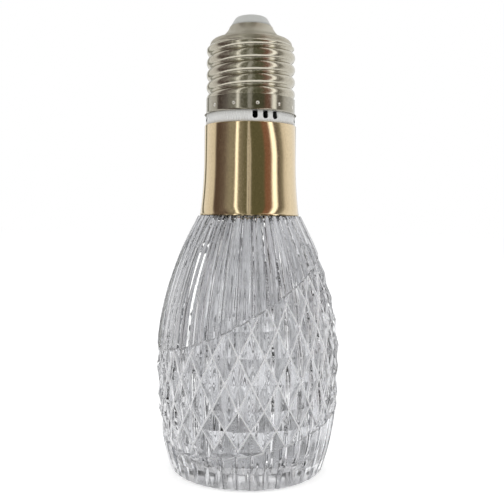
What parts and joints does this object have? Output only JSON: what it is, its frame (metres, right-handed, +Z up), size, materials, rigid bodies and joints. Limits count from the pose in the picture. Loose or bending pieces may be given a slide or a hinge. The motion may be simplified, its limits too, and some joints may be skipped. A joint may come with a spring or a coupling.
{
  "type": "led bulb",
  "caption": "LED bulb with a hollow clear acrylic shade, fluted and diamond-cut, a flared gold sleeve, a white vented collar and an E27 screw cap, for table lamps.",
  "frame": {"origin": "centre of the foot of the shade, on the surface that the bulb stands on", "axes": "+Z up along the axis of the bulb to the screw cap; -Y is the side that the picture shows"},
  "size_m": [0.0539, 0.0539, 0.1333],
  "materials": {
    "clear_acrylic": "clear, polished and cut",
    "gold_metal": "gold-plated, polished",
    "white_plastic": "satin white moulding",
    "nickel": "nickel-plated, bright",
    "insulator_plastic": "pale grey moulding",
    "contact_metal": "tinned rivet",
    "silicone": "white silicone",
    "board_aluminium": "white coated aluminium",
    "diode_body": "white moulding",
    "phosphor": "yellow phosphor in silicone",
    "screw_steel": "zinc-plated",
    "circuit_board": "green coated laminate",
    "capacitor_sleeve": "shrunk film sleeve",
    "ferrite": "sintered ferrite",
    "copper": "enamelled copper wire",
    "film_case": "moulded case",
    "package_black": "moulded package",
    "resistor_coat": "flameproof coating",
    "red_insulation": "flexible insulation",
    "white_insulation": "flexible insulation",
    "black_insulation": "flexible insulation"
  },
  "bodies": {
    "root": {"acrylic_shade": "clear_acrylic", "gold_sleeve": "gold_metal", "driver_housing": "white_plastic", "screw_shell": "nickel", "tip_insulator": "insulator_plastic", "centre_contact": "contact_metal", "shade_adhesive": "silicone", "led_board": "board_aluminium", "led_packages": "diode_body", "led_phosphors": "phosphor", "board_screws": "screw_steel", "driver_board": "circuit_board", "smoothing_capacitor": "capacitor_sleeve", "choke_core": "ferrite", "choke_winding": "copper", "film_capacitor": "film_case", "bridge_rectifier": "package_black", "driver_chip": "package_black", "fuse_resistor": "resistor_coat", "live_wire": "red_insulation", "neutral_wire": "white_insulation", "led_wire_positive": "red_insulation", "led_wire_negative": "black_insulation"}
  },
  "joints": []
}
